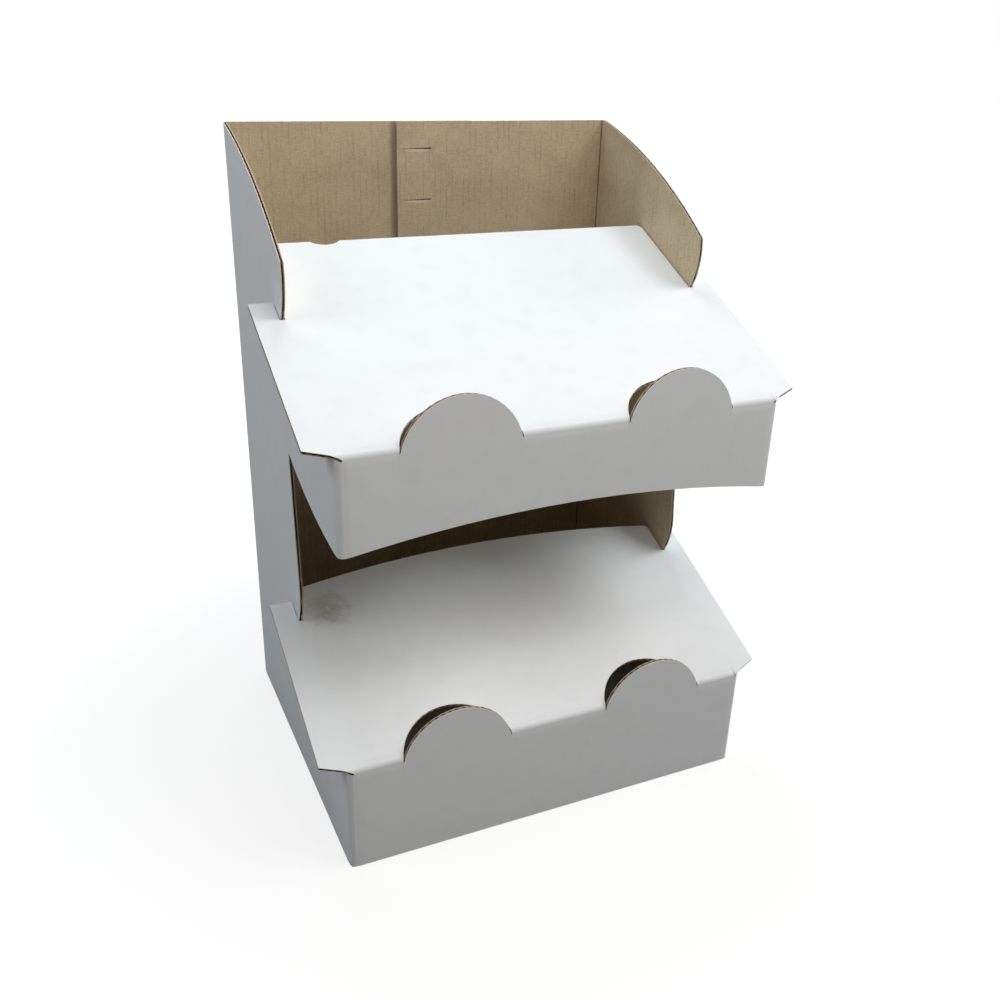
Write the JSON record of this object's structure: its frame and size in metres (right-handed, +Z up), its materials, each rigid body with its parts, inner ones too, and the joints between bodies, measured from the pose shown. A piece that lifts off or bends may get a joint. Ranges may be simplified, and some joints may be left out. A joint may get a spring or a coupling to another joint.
{
  "type": "cardboard display stand",
  "caption": "Two-tier counter display stand folded from one sheet of corrugated board, with sloping shelves, side wings and half-moon tabs.",
  "frame": {"origin": "middle of the footprint on the surface it stands on, halfway between the front and back panels", "axes": "+Z up, +Y from the front panel to the back panel, +X to the right as seen from the front"},
  "size_m": [0.2348, 0.18, 0.3128],
  "materials": {
    "corrugated_board": "white matt liner outside, brown kraft liner inside"
  },
  "bodies": {
    "root": {"folded_board": "corrugated_board"}
  },
  "joints": []
}
